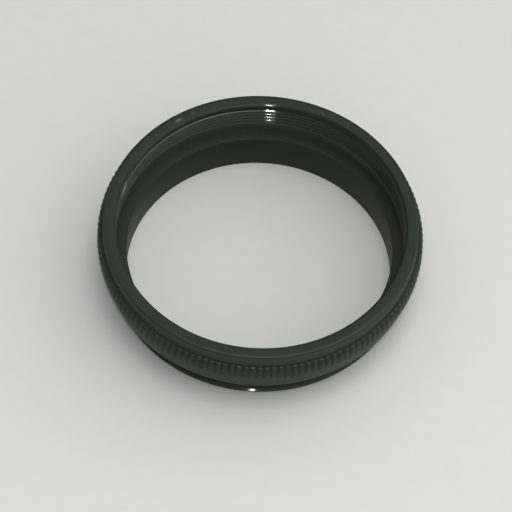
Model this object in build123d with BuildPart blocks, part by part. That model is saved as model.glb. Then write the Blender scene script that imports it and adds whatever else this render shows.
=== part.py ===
from build123d import *
import os
from math import pi, radians, tan

# One-piece turned lens tube: a short spacer ring with the same fine thread, outside at the foot
# and inside at the head. Millimetres, +Z up along the optical axis. The origin is the centre of
# the foot, the end of the outside thread, which is the face that the ring stands on.
# Both threads are plain cylinders here, each at the radius of its crests.

# ---- driving dimensions ----
thread_major_diameter = 42.0        # nominal size of both threads
thread_pitch = 0.75
outer_thread_length = 4.75          # foot to the underside of the body
body_height = 7.5                   # underside of the body to the head face
bore_diameter = 38.0                # clear light path
head_diameter = 45.0                # plain land under the head face
body_diameter = 46.3                # smooth body just below the knurl
knurl_diameter = 46.5               # over the crests
knurl_teeth = 146                   # 1.0 mm apart round the crests
counterbore_depth = 6.05            # head face to the inside shoulder

# ---- details of the outside, as heights above the foot and radii ----
foot_edge_radius = 20.35            # where the lead-in of the outside thread meets the foot
lead_in_angle = 30                  # degrees from the axis
relief_width = 0.7                  # thread run-out groove next to the body
relief_radius = 20.4
skirt_foot_radius = 22.36           # lower edge of the tapered skirt
skirt_top_height = 7.9
knurl_foot_height = 8.1
knurl_shoulder_height = 9.7
knurl_top_height = 10.45
knurl_top_radius = 23.05
knurl_root_radius = 23.05
knurl_groove_angle = 126            # degrees, included
head_edge_break = 0.2               # outer corner of the head face
edge_break = 0.1                    # broken corners of the body and the bore

# ---- details of the inside ----
mouth_chamfer_width = 0.4
mouth_chamfer_depth = 0.25
inside_thread_depth = 1.0825        # off the diameter, in pitches
thread_minor_diameter = thread_major_diameter - inside_thread_depth * thread_pitch

# ---- worked out from them ----
height = outer_thread_length + body_height
shoulder_height = height - counterbore_depth
bore_radius = bore_diameter / 2
outer_thread_radius = thread_major_diameter / 2
inner_thread_radius = thread_minor_diameter / 2
head_radius = head_diameter / 2
body_radius = body_diameter / 2
knurl_radius = knurl_diameter / 2
lead_in_height = (outer_thread_radius - foot_edge_radius) / tan(radians(lead_in_angle))
relief_foot_height = outer_thread_length - relief_width
relief_slope = outer_thread_radius - relief_radius


def turned_outside():
    """The outside of the section, from the foot up to the head face."""
    return [
        (foot_edge_radius, 0),
        (outer_thread_radius, lead_in_height),
        (outer_thread_radius, relief_foot_height - relief_slope / 2),
        (relief_radius, relief_foot_height),
        (relief_radius, outer_thread_length),
        (skirt_foot_radius - edge_break, outer_thread_length),
        (skirt_foot_radius, outer_thread_length + edge_break),
        (body_radius, skirt_top_height),
        (knurl_radius, knurl_foot_height),
        (knurl_radius, knurl_shoulder_height),
        (knurl_top_radius, knurl_top_height),
        (head_radius, knurl_top_height),
        (head_radius, height - head_edge_break),
        (head_radius - head_edge_break, height),
    ]


def turned_inside():
    """The inside of the section, from the head face down to the foot."""
    return [
        (inner_thread_radius + mouth_chamfer_width, height),
        (inner_thread_radius, height - mouth_chamfer_depth),
        (inner_thread_radius, shoulder_height),
        (bore_radius + edge_break, shoulder_height),
        (bore_radius, shoulder_height - edge_break),
        (bore_radius, edge_break),
        (bore_radius + edge_break, 0),
    ]


# ---- the tube: one turning, then the straight knurl ----
groove_depth = knurl_radius - knurl_root_radius
groove_overshoot = 0.02             # past the crests, and short of the next groove
groove_tip_radius = knurl_radius + groove_overshoot
groove_half_width = (groove_depth + groove_overshoot) * tan(radians(knurl_groove_angle / 2))

with BuildPart() as lens_tube:
    with BuildSketch(Plane.XZ):
        with BuildLine():
            Polyline(*turned_outside(), *turned_inside(), close=True)
        make_face()
    revolve(axis=Axis.Z)

    with BuildSketch(Plane.XY.offset(skirt_top_height)):
        with PolarLocations(0, knurl_teeth):
            Polygon(
                (knurl_root_radius, 0),
                (groove_tip_radius, -groove_half_width),
                (groove_tip_radius, groove_half_width),
                align=None,
            )
    extrude(amount=knurl_top_height - skirt_top_height, mode=Mode.SUBTRACT)

lens_tube.part.label = "lens_tube"

os.makedirs("parts", exist_ok=True)
export_step(lens_tube.part, "parts/lens_tube.step")

print("height", height, "knurl pitch", round(pi * knurl_diameter / knurl_teeth, 3))
print("solids", len(lens_tube.part.solids()), "volume", round(lens_tube.part.volume, 1))
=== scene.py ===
from math import cos, pi, radians, sin, tan

import bpy
from mathutils import Matrix, Vector


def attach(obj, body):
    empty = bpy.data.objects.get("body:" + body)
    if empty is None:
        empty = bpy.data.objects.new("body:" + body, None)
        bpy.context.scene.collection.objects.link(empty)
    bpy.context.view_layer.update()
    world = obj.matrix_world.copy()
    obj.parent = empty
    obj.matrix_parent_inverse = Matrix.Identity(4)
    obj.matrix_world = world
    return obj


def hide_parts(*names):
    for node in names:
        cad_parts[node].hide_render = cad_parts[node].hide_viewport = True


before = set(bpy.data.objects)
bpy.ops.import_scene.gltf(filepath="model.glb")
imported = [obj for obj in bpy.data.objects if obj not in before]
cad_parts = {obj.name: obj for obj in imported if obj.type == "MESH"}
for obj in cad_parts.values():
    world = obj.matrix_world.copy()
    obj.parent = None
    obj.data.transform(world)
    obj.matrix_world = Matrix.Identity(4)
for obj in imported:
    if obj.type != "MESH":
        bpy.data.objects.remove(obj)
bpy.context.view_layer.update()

# A one-piece turned lens tube, black anodised, standing on the end of its outside thread.
# Lengths below are in millimetres unless a name says otherwise; MM brings them to metres.
MM = 0.001

# ---- the section, as the turning is dimensioned ----
HEIGHT = 12.25
BORE_RADIUS = 19.0
SHOULDER_HEIGHT = 6.2           # floor of the counterbore
BODY_FOOT = 4.75                # underside of the body
SKIRT_FOOT_RADIUS = 22.36
HEAD_RADIUS = 22.5
HEAD_EDGE = 0.2                 # rounding of the outer corner of the head face
EDGE_BREAK = 0.1                # broken corners of the skirt and the bore
CORNER_BOW = 0.3                # share of the break at its middle point

# knurl
KNURL_RADIUS = 23.25
KNURL_TOP = 10.45
KNURL_TEETH = 146
SIDES_PER_TOOTH = 5
KNURL_HALF_GAP = 0.4            # half a groove's width, as a share of a tooth

# outside thread, at the foot
LEAD = 0.75                     # pitch of both threads
OUTSIDE_CREST = 21.0
OUTSIDE_DEPTH = 0.46
FOOT_EDGE = 20.35
LEAD_IN = tan(radians(30))      # radius gained for each millimetre of height
OUTSIDE_LOW, OUTSIDE_HIGH = 0.3, 3.99
RELIEF_RADIUS, RELIEF_FOOT, RELIEF_SLOPE = 20.4, 4.05, 2.0
OUTSIDE_START = 0.58            # height of a crest at azimuth 0

# inside thread, at the head
INSIDE_CREST = 20.594
INSIDE_DEPTH = 0.406
MOUTH_RADIUS = 20.69
MOUTH_TAPER = 0.1               # radius lost for each millimetre down from the head face
INSIDE_LOW, INSIDE_HIGH = 8.0, 11.35
INSIDE_RUN_OUT = 0.5            # height over which the last turn fades out
INSIDE_BLUNT = 0.08             # the same at the mouth
INSIDE_START = 9.99             # height of a crest at azimuth 0

# one turn of each thread as rows: share of the lead from a crest, share of the depth
OUTSIDE_ROWS = ((-.0625, 0), (.0625, 0), (.4, .95), (.46, 1), (.54, 1), (.6, .95))
INSIDE_ROWS = ((-.11, 0), (.11, 0), (.44, .95), (.48, 1), (.52, 1), (.56, .95))

# the grip band from its foot to its top: radius of the crests, height, depth of the grooves
KNURL_ROWS = (
    (23.17, 7.92, .02), (23.23, 8.04, .09), (23.25, 8.12, .1), (KNURL_RADIUS, 9.1, .18),
    (KNURL_RADIUS, 9.7, .29), (23.23, 9.8, .3), (23.08, 10.37, .3), (23.03, 10.43, .27),
    (22.97, KNURL_TOP, .2))

# ---- the finish and its painted light and shade: places on the section as (low, high, fade), in radius and in height ----
INSIDE_THREAD = ((20.5, 21.05, .03), (INSIDE_LOW - .1, INSIDE_HIGH - .05, .1))
MOUTH = ((20.66, 21.0, .01), (12.03, 12.3, .01))
TOOTH_TOP = ((22.95, 23.1, .02), (10.36, 10.6, .03))
HEAD_WALL_RADII = (HEAD_RADIUS - .1, HEAD_RADIUS + .06, .03)
HEAD_FACE_MARK = ((21.4, 21.5, .3), (12.2, 12.4, .01))
POLISHED_DEGREES = (87.2, 89.8, 1.4)

# a third entry keeps a place to a stretch of the turn, in degrees from +X
PLACES = {
    "bore": ((0, BORE_RADIUS + .05, .05), (0, SHOULDER_HEIGHT - .15, .03)),
    "shoulder": ((BORE_RADIUS - .05, 20.58, .01), (SHOULDER_HEIGHT - .12, SHOULDER_HEIGHT + .02, .02)),
    "plain_wall": ((20.58, 20.7, .005), (SHOULDER_HEIGHT + .04, INSIDE_LOW + .05, .02)),
    "inside_thread": INSIDE_THREAD,
    "thread_right": (*INSIDE_THREAD, (15, 88, 10)),
    "thread_left": (*INSIDE_THREAD, (90, 160, 8)),
    "thread_polished": (*INSIDE_THREAD, POLISHED_DEGREES),
    # a painted highlight: a light smear down the threads on the left
    "painted_thread_highlight": ((20.5, 21.0, .05), (10.4, 11.3, .6), (162, 165, 2)),
    # a painted highlight along the first crest below the mouth, on the left
    "top_crest": ((20.5, 20.64, .01), (10.98, 11.12, .03), (88, 176, 4)),
    "mouth_wall": ((20.5, 20.68, .01), (11.2, 12.02, .02)),
    "mouth": MOUTH,
    "mouth_left": (*MOUTH, (92, 150, 6)),
    "mouth_polished": (*MOUTH, POLISHED_DEGREES),
    "face_mark_left": (*HEAD_FACE_MARK, (125.5, 126.5, 1.4)),
    "face_mark_beside": (*HEAD_FACE_MARK, (119.2, 119.6, 1)),
    "face_mark_right": (*HEAD_FACE_MARK, (68, 68.4, 1)),
    "far_edge": ((22.12, 22.6, .03), (12.1, 12.4, .05), (18, 158, 6)),
    "near_edge": ((22.18, 22.42, .04), (12.2, 12.4, .01), (-112, -38, 12)),
    "head_line": (HEAD_WALL_RADII, (11.8, 12.05, .05)),
    "head_wall": (HEAD_WALL_RADII, (KNURL_TOP + .05, 11.85, .1)),
    "head_foot": (HEAD_WALL_RADII, (KNURL_TOP + .05, 10.9, .4)),
    "ledge": ((22.55, 22.96, .03), (KNURL_TOP - .05, KNURL_TOP + .02, .02)),
    "tooth_top": TOOTH_TOP,
    "tooth_top_near": (*TOOTH_TOP, (-104, -76, 4)),
    "knurl_near": ((22.9, 23.17, .04), (8.0, 9.9, .1), (-118, -62, 10)),
    "skirt": ((22.2, 23.2, .02), (4.6, 7.3, .1)),
    "lowest_turns": ((20.3, 21.05, .05), (0, 1.65, .1)),
}

# painted light and shade: how much lighter or darker each place is painted than the plain finish, as a share
# of it.
# Bore, shoulder and mouth wall are painted darker as shade deep inside, and the ledge as shade in the corner
# under the head. The plain wall, the left threads and the left of the mouth chamfer are painted lighter as
# lit sides; the right threads and the rest of the chamfer are painted darker. The head wall and its foot are
# painted lighter against the corner's shade. The near edge of the head carries a painted highlight line. The
# far edge and a line under the head's edge are painted darker as dark reflection. The near knurl and the
# skirt are painted darker to tone down the light they reflect.
PAINTED_LIGHT_AND_SHADE = {
    "bore": -.4, "shoulder": -.15, "plain_wall": .7, "thread_right": -.05, "thread_left": .2,
    "mouth": -.5, "mouth_left": .5, "mouth_wall": -.5, "far_edge": -.4, "near_edge": .5,
    "head_wall": .5, "head_foot": .5, "head_line": -.35, "ledge": -.1, "knurl_near": -.25, "skirt": -.1,
}
# painted light on the inside walls, lighter towards +X
PAINTED_LIGHT_INSIDE_TO_RIGHT = {"bore": .006, "plain_wall": .02}      # more of it for each millimetre towards +X
TONES_OF_GRAIN = {"clouds": .2, "marks": .1, "mottle": .2}
TONE_WITHOUT_GRAIN = .74

# how far a place is taken to the light grey: real wear marks on the head face, and painted highlights
# on the first crest and down the threads on the left
WEAR_AND_PAINTED_HIGHLIGHTS = {
    "top_crest": 1, "face_mark_left": .5, "face_mark_beside": .2, "face_mark_right": .15, "painted_thread_highlight": .7,
}
# specks of wear and painted glints on the near tooth tops
CHIP_WEAR_AND_GLINT, CHIP_LEAST, CHIP_CONTRAST = .4, .55, 10      # specks on the near tooth tops

# weight of the glossy coat
COATS = {
    "inside_thread": .1, "thread_polished": .9, "mouth": .05, "mouth_polished": .5,
    "lowest_turns": .08, "tooth_top": .2,
}

BLACK = (.0258, .0300, .0247, 1)
# light grey of worn places, also used for painted highlights and glints
WORN_AND_HIGHLIGHT_GREY = (.19, .2, .195, 1)
BOARD_COLOUR = (.70, .70, .695, 1)

# ---- the studio: glow of the room from four sides, and the light painted on the board, in shares a metre ----
UP_GLOW, RIGHT_GLOW, BACK_GLOW, FRONT_GLOW = .46, 1.20, .42, .3
BOARD_HALF_METRES = 1.5
BOARD_PAINTED_LIGHT_REACH_METRES = .06
BOARD_PAINTED_LIGHT_MIDDLE, BOARD_PAINTED_LIGHT_TO_BACK, BOARD_PAINTED_LIGHT_TO_RIGHT = .963, -.65, .45

# ---- the camera: a long lens, looking down at the ring ----
CAMERA_ELEVATION = radians(56.534)
CAMERA_ROLL = radians(3.061)
CAMERA_DISTANCE = 864.37
CAMERA_SHIFT_RIGHT, CAMERA_SHIFT_DOWN = .325, 2.323
CAMERA_LENS = 421.875
SENSOR_WIDTH = 36
CLIP_NEAR_METRES, CLIP_FAR_METRES = .05, 20


# ---- node trees ----
class Value:
    """One output of a node. Arithmetic on it adds Math nodes to its tree."""

    def __init__(self, tree, socket):
        self.tree, self.socket = tree, socket

    def math(self, operation, *others):
        return self.tree.node("ShaderNodeMath", {"operation": operation}, (self, *others))["Value"]

    def __add__(self, other):
        return self.math("ADD", other)

    def __sub__(self, other):
        return self.math("SUBTRACT", other)

    def __rsub__(self, other):
        return self * -1 + other

    def __mul__(self, other):
        return self.math("MULTIPLY", other)

    def __truediv__(self, other):
        return self.math("DIVIDE", other)

    __radd__, __rmul__ = __add__, __mul__

    def clip(self, low, high):
        return self.math("MAXIMUM", low).math("MINIMUM", high)

    def band(self, low, high, fade):
        """1 between low and high, falling to 0 over the fade on either side."""
        return ((self - (low - fade)) / fade).math("MINIMUM", ((high + fade) - self) / fade).clip(0, 1)


class Tree:
    """Adds nodes to a node tree: type, settings, then the values or links of its sockets."""

    def __init__(self, tree):
        self.tree = tree

    def node(self, kind, settings=None, sockets=()):
        made = self.tree.nodes.new(kind)
        for name, value in (settings or {}).items():
            setattr(made, name, value)
        for key, value in sockets.items() if isinstance(sockets, dict) else enumerate(sockets):
            if isinstance(value, Value):
                self.tree.links.new(value.socket, made.inputs[key])
            else:
                made.inputs[key].default_value = value
        return {s.name: Value(self, s) for s in reversed(made.outputs) if s.enabled}

    def noise(self, vector, **sockets):
        names = {name.capitalize(): value for name, value in sockets.items()}
        return self.node("ShaderNodeTexNoise", {}, {"Vector": vector, **names})["Fac"]

    def shaded(self, colour, shade):
        """A colour made lighter or darker by a varying share."""
        grey = self.node("ShaderNodeCombineColor", {}, (shade, shade, shade))["Color"]
        return self.node("ShaderNodeMix", {"data_type": "RGBA", "blend_type": "MULTIPLY"},
                         {0: 1.0, 6: colour, 7: grey})["Result"]


def weighted(values, shares, start):
    """The start plus each named value times its share."""
    return sum((values[name] * share for name, share in shares.items()), start)


def shader_tree(holder):
    """The emptied node tree of a new material or world."""
    holder.use_nodes = True
    holder.node_tree.nodes.clear()
    return Tree(holder.node_tree)


# ---- the ring ----
def wall_radius_outside(height):
    """Radius of the turned blank of the outside thread at a height, before the thread is cut."""
    lead_in = FOOT_EDGE + LEAD_IN * height
    return min(OUTSIDE_CREST, lead_in, RELIEF_RADIUS + RELIEF_SLOPE * (RELIEF_FOOT - height))


def wall_radius_inside(height):
    """The same for the inside thread, which opens a little towards the mouth."""
    return max(INSIDE_CREST, MOUTH_RADIUS - MOUTH_TAPER * (HEIGHT - height))


def thread_rows(rows, start, low, high, side):
    """Rows of one thread from below its low end to above its high end, rising."""
    found = []
    turn = int((low - start) // LEAD) - 2
    while start + turn * LEAD < high + LEAD:
        for share, cut in rows:
            height = start + (turn + share) * LEAD
            if low - LEAD - LEAD / 4 < height < high + LEAD / 4:
                found.append((0, height, 0, cut, side))
        turn += 1
    return found


def broken_corner(radius, height, level_way, upright_way):
    """Three points round a broken corner, from its level face to its upright wall."""
    return [(radius + level_way * EDGE_BREAK * share, height + upright_way * EDGE_BREAK * rise)
            for share, rise in ((1, 0), (CORNER_BOW, CORNER_BOW), (0, 1))]


def rounded_head_corner():
    """Quarter round from the head's wall to its face."""
    turns = [radians(90) * step / 4 for step in range(5)]
    return [(HEAD_RADIUS - HEAD_EDGE * (1 - cos(a)), HEIGHT - HEAD_EDGE * (1 - sin(a))) for a in turns]


def plain_rows(points):
    """Rows with neither knurl nor thread."""
    return [(radius, height, 0, 0, 0) for radius, height in points]


def section_rows():
    """The closed section: radius, height, depth of the knurl, cut of the thread, side of the thread."""
    foot = [(FOOT_EDGE - .1, 0), (FOOT_EDGE, .03), (wall_radius_outside(OUTSIDE_LOW), OUTSIDE_LOW)]
    relief = [(wall_radius_outside(OUTSIDE_HIGH), OUTSIDE_HIGH), (RELIEF_RADIUS, RELIEF_FOOT),
              (RELIEF_RADIUS, BODY_FOOT - .04), (RELIEF_RADIUS + .04, BODY_FOOT)]
    skirt = broken_corner(SKIRT_FOOT_RADIUS, BODY_FOOT, -1, 1) + [(22.65, 5.86), (23.05, 7.25), (23.14, 7.7)]
    head = [(22.75, KNURL_TOP), (HEAD_RADIUS + .04, KNURL_TOP), (HEAD_RADIUS, KNURL_TOP + .04),
            (HEAD_RADIUS, 11.2)] + rounded_head_corner()
    mouth = [(21.6, HEIGHT), (21.02, HEIGHT), (20.985, 12.237), (20.69, 12.048), (20.672, 12.03),
             (20.665, 11.99), (wall_radius_inside(INSIDE_HIGH), INSIDE_HIGH)]
    shoulder = [(INSIDE_CREST, INSIDE_LOW), (INSIDE_CREST, SHOULDER_HEIGHT + .03),
                (INSIDE_CREST - .03, SHOULDER_HEIGHT)]
    bore = broken_corner(BORE_RADIUS, SHOULDER_HEIGHT, 1, -1) + broken_corner(BORE_RADIUS, 0, 1, 1)[::-1]
    rows = plain_rows(foot)
    rows += thread_rows(OUTSIDE_ROWS, OUTSIDE_START, OUTSIDE_LOW, OUTSIDE_HIGH, -1)
    rows += plain_rows(relief + skirt)
    rows += [(radius, height, depth, 0, 0) for radius, height, depth in KNURL_ROWS]
    rows += plain_rows(head + mouth)
    rows += thread_rows(INSIDE_ROWS, INSIDE_START, INSIDE_LOW, INSIDE_HIGH, 1)[::-1]
    rows += plain_rows(shoulder + bore)
    return rows + rows[:1]


def section_mesh():
    """The section's rows as loose points, with what the tree needs to know of each."""
    rows = section_rows()
    made = bpy.data.meshes.new("ring_section")
    made.from_pydata([(row[0] * MM, 0, row[1] * MM) for row in rows], [], [])
    for place, name, unit in ((2, "knurl_depth", MM), (3, "thread_cut", 1), (4, "thread_side", 1)):
        values = made.attributes.new(name, "FLOAT", "POINT")
        values.data.foreach_set("value", [row[place] * unit for row in rows])
    return made, len(rows)


def ring_tree(sizes):
    """Carries the section once round the axis, cuts both threads as helices and the knurl as
    straight grooves, and closes the seams."""
    group = bpy.data.node_groups.new("turned_ring", "GeometryNodeTree")
    group.interface.new_socket("Section", in_out="INPUT", socket_type="NodeSocketGeometry")
    for name, value in sizes.items():
        kind = "NodeSocketInt" if isinstance(value, int) else "NodeSocketFloat"
        group.interface.new_socket(name, in_out="INPUT", socket_type=kind)
    group.interface.new_socket("Material", in_out="INPUT", socket_type="NodeSocketMaterial")
    group.interface.new_socket("Ring", in_out="OUTPUT", socket_type="NodeSocketGeometry")
    t = Tree(group)
    size = t.node("NodeGroupInput")

    sheet = t.node("GeometryNodeMeshGrid", {}, {
        "Size X": 1.0, "Size Y": 1.0, "Vertices X": size["Sides"] + 1, "Vertices Y": size["Rows"]})["Mesh"]
    place = t.node("ShaderNodeSeparateXYZ", {}, (t.node("GeometryNodeInputPosition")["Position"],))
    column = ((place["X"] + .5) * size["Sides"]).math("ROUND")
    row = ((place["Y"] + .5) * (size["Rows"] - 1)).math("ROUND")
    turn = column / size["Sides"]
    angle = turn * (2 * pi)

    def of_row(value):
        return t.node("GeometryNodeSampleIndex", {"data_type": "FLOAT", "clamp": True},
                      {"Geometry": size["Section"], "Value": value, "Index": row})["Value"]

    def named(name):
        attribute = t.node("GeometryNodeInputNamedAttribute", {"data_type": "FLOAT"}, {"Name": name})
        return of_row(attribute["Attribute"])

    point = t.node("ShaderNodeSeparateXYZ", {}, (t.node("GeometryNodeInputPosition")["Position"],))
    radius, height = of_row(point["X"]), of_row(point["Z"])
    side, cut, knurl_depth = named("thread_side"), named("thread_cut"), named("knurl_depth")

    # threads: a row of a thread climbs one lead in a turn, and stops at the thread's ends
    climbing = height + turn * size["Lead"]
    z_out = climbing.clip(size["Outside low"], size["Outside high"])
    r_out = (size["Outside crest"] - cut * size["Outside depth"]).math(
        "MINIMUM", size["Foot edge"] + z_out * size["Lead-in"]).math(
        "MINIMUM", size["Relief radius"] + (size["Relief foot"] - z_out) * size["Relief slope"])
    low_in, high_in = size["Inside low"], size["Inside high"]
    z_in = climbing.clip(low_in, high_in)
    fade = ((z_in - low_in) / size["Inside run-out"]).math(
        "MINIMUM", (high_in - z_in) / size["Inside blunt"]).clip(0, 1)
    r_in = (size["Inside crest"] + cut * size["Inside depth"] * fade).math(
        "MAXIMUM", size["Mouth radius"] - (size["Height"] - z_in) * size["Mouth taper"])
    is_out, is_in = side.math("LESS_THAN", -.5), side.math("GREATER_THAN", .5)
    plain = 1 - is_out - is_in
    z = plain * height + is_out * z_out + is_in * z_in
    r = plain * radius + is_out * r_out + is_in * r_in

    # knurl: straight V grooves with a flat crest between them
    gap = (turn * size["Teeth"]).math("FRACT")
    from_gap = .5 - (gap - .5).math("ABSOLUTE")
    r = r - knurl_depth * (1 - from_gap / size["Half gap"]).clip(0, 1)

    across, along = r * angle.math("COSINE"), r * angle.math("SINE")
    where = t.node("ShaderNodeCombineXYZ", {}, (across, along, z))["Vector"]
    ring = t.node("GeometryNodeSetPosition", {}, {"Geometry": sheet, "Position": where})["Geometry"]
    ring = t.node("GeometryNodeMergeByDistance", {}, {"Geometry": ring, "Distance": size["Seam"]})["Geometry"]
    ring = t.node("GeometryNodeSetShadeSmooth", {"domain": "FACE"},
                  {"Geometry": ring, "Shade Smooth": True})["Geometry"]
    bend = t.node("GeometryNodeInputMeshEdgeAngle")["Unsigned Angle"]
    sharp = t.node("FunctionNodeCompare", {"data_type": "FLOAT", "operation": "GREATER_THAN"},
                   (bend, size["Sharp edge"]))["Result"]
    ring = t.node("GeometryNodeSetShadeSmooth", {"domain": "EDGE"},
                  {"Geometry": ring, "Selection": sharp, "Shade Smooth": False})["Geometry"]
    ring = t.node("GeometryNodeRealizeInstances", {}, {"Geometry": ring})["Geometry"]
    ring = t.node("GeometryNodeSetMaterial", {}, {"Geometry": ring, "Material": size["Material"]})["Geometry"]
    t.node("NodeGroupOutput", {}, {"Ring": ring})
    return group


def make_ring(material):
    section, count = section_mesh()
    sizes = {
        "Sides": KNURL_TEETH * SIDES_PER_TOOTH, "Rows": count, "Teeth": KNURL_TEETH,
        "Half gap": KNURL_HALF_GAP, "Height": HEIGHT * MM, "Lead": LEAD * MM,
        "Outside crest": OUTSIDE_CREST * MM, "Outside depth": OUTSIDE_DEPTH * MM,
        "Outside low": OUTSIDE_LOW * MM, "Outside high": OUTSIDE_HIGH * MM,
        "Foot edge": FOOT_EDGE * MM, "Lead-in": LEAD_IN,
        "Relief radius": RELIEF_RADIUS * MM, "Relief foot": RELIEF_FOOT * MM, "Relief slope": RELIEF_SLOPE,
        "Inside crest": INSIDE_CREST * MM, "Inside depth": INSIDE_DEPTH * MM,
        "Inside low": INSIDE_LOW * MM, "Inside high": INSIDE_HIGH * MM,
        "Inside run-out": INSIDE_RUN_OUT * MM, "Inside blunt": INSIDE_BLUNT * MM,
        "Mouth radius": MOUTH_RADIUS * MM, "Mouth taper": MOUTH_TAPER,
        "Seam": 1e-7, "Sharp edge": radians(24),
    }
    group = ring_tree(sizes)
    maker = bpy.data.objects.new("ring_maker", section)
    bpy.context.scene.collection.objects.link(maker)
    modifier = maker.modifiers.new("turning", "NODES")
    modifier.node_group = group
    sizes["Material"] = material
    for item in group.interface.items_tree:
        if item.in_out == "INPUT" and item.name in sizes:
            modifier[item.identifier] = sizes[item.name]
    seen = maker.evaluated_get(bpy.context.evaluated_depsgraph_get())
    mesh = bpy.data.meshes.new_from_object(seen)
    maker.modifiers.remove(modifier)
    bpy.data.objects.remove(maker)
    mesh.name = "lens_tube_turned"
    mesh.materials.clear()
    mesh.materials.append(material)
    mesh.polygons.foreach_set("material_index", [0] * len(mesh.polygons))
    made = bpy.data.objects.new("lens_tube_turned", mesh)
    bpy.context.scene.collection.objects.link(made)
    return made


# ---- finishes ----
def black_anodised():
    """Black anodised aluminium over fine turning marks, with a slight green cast, and with light and shade
    painted into its colour place by place.
    """
    made = bpy.data.materials.new("satin_black_anodising")
    t = shader_tree(made)
    spot = t.node("ShaderNodeTexCoord")["Object"]
    at = t.node("ShaderNodeSeparateXYZ", {}, (spot,))
    x, z = at["X"] / MM, at["Z"] / MM
    r = (at["X"] * at["X"] + at["Y"] * at["Y"]).math("SQRT") / MM
    angle = at["Y"].math("ARCTAN2", at["X"])
    turned = angle * (180 / pi)

    def place(radii, heights, degrees=None):
        on_section = r.band(*radii) * z.band(*heights)
        return on_section * turned.band(*degrees) if degrees else on_section

    places = {name: place(*bands) for name, bands in PLACES.items()}

    # turning marks: lines that keep their radius and height, and change slowly along the cut
    along = t.node("ShaderNodeCombineXYZ", {}, (r, z, angle * .35))["Vector"]
    grain = {
        "marks": t.noise(along, scale=7, detail=3, roughness=.6),
        "clouds": t.noise(spot, scale=160, detail=3),
        "mottle": t.noise(spot, scale=1800),
    }
    chips_and_glints = ((t.noise(spot, scale=900, detail=0) - CHIP_LEAST) * CHIP_CONTRAST).clip(0, 1)

    # painted light and shade by place, lighter towards +X inside, times the grain of the finish
    painted_shading = weighted(places, PAINTED_LIGHT_AND_SHADE, 1) + x * weighted(places, PAINTED_LIGHT_INSIDE_TO_RIGHT, 0)
    black = t.shaded(BLACK, painted_shading * weighted(grain, TONES_OF_GRAIN, TONE_WITHOUT_GRAIN))
    # real wear marks, and painted highlights and glints, taken to the light grey
    wear_and_highlights = (weighted(places, WEAR_AND_PAINTED_HIGHLIGHTS, 0) + CHIP_WEAR_AND_GLINT * places["tooth_top_near"] * chips_and_glints).clip(0, 1)
    colour = t.node("ShaderNodeMix", {"data_type": "RGBA"}, {0: wear_and_highlights, 6: black, 7: WORN_AND_HIGHLIGHT_GREY})["Result"]
    bump = t.node("ShaderNodeBump", {}, {
        "Strength": .25, "Distance": .00001,
        "Height": grain["marks"] + .6 * t.noise(spot, scale=9000)})["Normal"]
    shader = t.node("ShaderNodeBsdfPrincipled", {}, {
        "Base Color": colour, "Roughness": .42 + .12 * grain["clouds"], "Normal": bump, "IOR": 1.25,
        "Coat Weight": weighted(places, COATS, 0).clip(0, 1), "Coat Roughness": .075, "Coat IOR": 1.7,
        "Specular Tint": (.9, 1, .94, 1)})["BSDF"]
    t.node("ShaderNodeOutputMaterial", {}, {"Surface": shader})
    return made


def pale_floor():
    """Smooth pale board, with painted light: a little lighter towards the front right."""
    made = bpy.data.materials.new("pale_board")
    t = shader_tree(made)
    spot = t.node("ShaderNodeTexCoord")["Object"]
    at = t.node("ShaderNodeSeparateXYZ", {}, (spot,))
    # painted light on the board: lighter towards the front and the right
    back = at["Y"].clip(-BOARD_PAINTED_LIGHT_REACH_METRES, BOARD_PAINTED_LIGHT_REACH_METRES)
    right = at["X"].clip(-BOARD_PAINTED_LIGHT_REACH_METRES, BOARD_PAINTED_LIGHT_REACH_METRES)
    board_painted_light = BOARD_PAINTED_LIGHT_MIDDLE + BOARD_PAINTED_LIGHT_TO_BACK * back + BOARD_PAINTED_LIGHT_TO_RIGHT * right
    fleck, weave = t.noise(spot, scale=400, detail=4), t.noise(spot, scale=5000, detail=1)
    colour = t.shaded(BOARD_COLOUR, (.95 + .04 * fleck + .06 * weave) * board_painted_light)
    shader = t.node("ShaderNodeBsdfPrincipled", {}, {
        "Base Color": colour, "Roughness": .9, "Specular IOR Level": .1})["BSDF"]
    t.node("ShaderNodeOutputMaterial", {}, {"Surface": shader})
    return made


# ---- the studio ----
def direction(azimuth, elevation):
    a, e = radians(azimuth), radians(elevation)
    return Vector((cos(a) * cos(e), sin(a) * cos(e), sin(e)))


def lamp(name, azimuth, elevation, distance, size, watts):
    """A round soft lamp, in metres, turned to the ring."""
    light = bpy.data.lights.new(name, "AREA")
    light.shape, light.size, light.energy = "DISK", size, watts
    made = bpy.data.objects.new(name, light)
    made.location = direction(azimuth, elevation) * distance
    made.rotation_euler = (-made.location).to_track_quat("-Z", "Y").to_euler()
    bpy.context.scene.collection.objects.link(made)


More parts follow.
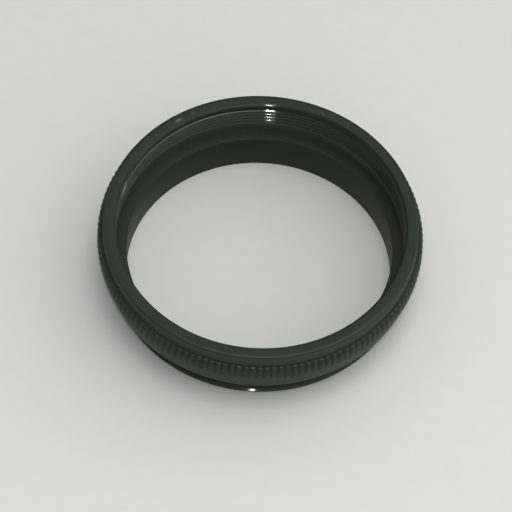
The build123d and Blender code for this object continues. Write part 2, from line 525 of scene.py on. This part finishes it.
def make_board():
    half = BOARD_HALF_METRES
    mesh = bpy.data.meshes.new("board")
    corners = [(-half, -half, 0), (half, -half, 0), (half, half, 0), (-half, half, 0)]
    mesh.from_pydata(corners, [], [(0, 1, 2, 3)])
    mesh.materials.append(pale_floor())
    board = bpy.data.objects.new("board", mesh)
    bpy.context.scene.collection.objects.link(board)


def make_room():
    """Soft light from above, behind and in front, and most from the right."""
    world = bpy.data.worlds.new("room")
    bpy.context.scene.world = world
    t = shader_tree(world)
    facing = t.node("ShaderNodeSeparateXYZ", {}, (t.node("ShaderNodeTexCoord")["Generated"],))
    glow = (UP_GLOW * facing["Z"].clip(0, 1) + RIGHT_GLOW * facing["X"].clip(0, 1)
            + BACK_GLOW * facing["Y"].clip(0, 1) + FRONT_GLOW * (facing["Y"] * -1).clip(0, 1))
    room = t.node("ShaderNodeBackground", {}, {"Color": (1, 1, 1, 1), "Strength": glow})["Background"]
    t.node("ShaderNodeOutputWorld", {}, {"Surface": room})


def make_lamps():
    lamp("overhead", azimuth=-90, elevation=80, distance=1.2, size=.51, watts=2.6)
    lamp("overhead_right", azimuth=30, elevation=80, distance=1.2, size=.51, watts=1.25)
    lamp("small_lamp", azimuth=-91, elevation=61, distance=1.0, size=.03, watts=.9)


def make_camera():
    back = Vector((0, -cos(CAMERA_ELEVATION), sin(CAMERA_ELEVATION)))
    level = Vector((1, 0, 0))
    upright = back.cross(level)
    right = level * cos(CAMERA_ROLL) + upright * sin(CAMERA_ROLL)
    up = upright * cos(CAMERA_ROLL) - level * sin(CAMERA_ROLL)
    data = bpy.data.cameras.new("camera")
    data.lens, data.sensor_width = CAMERA_LENS, SENSOR_WIDTH
    data.clip_start, data.clip_end = CLIP_NEAR_METRES, CLIP_FAR_METRES
    camera = bpy.data.objects.new("camera", data)
    stand = Matrix((right, up, back)).transposed().to_4x4()
    stand.translation = (back * CAMERA_DISTANCE - right * CAMERA_SHIFT_RIGHT + up * CAMERA_SHIFT_DOWN) * MM
    camera.matrix_world = stand
    bpy.context.scene.collection.objects.link(camera)
    bpy.context.scene.camera = camera


bpy.context.scene.view_settings.view_transform = "Standard"
make_camera()
make_board()
make_room()
make_lamps()
ring = make_ring(black_anodised())
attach(ring, "root")
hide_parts("lens_tube")
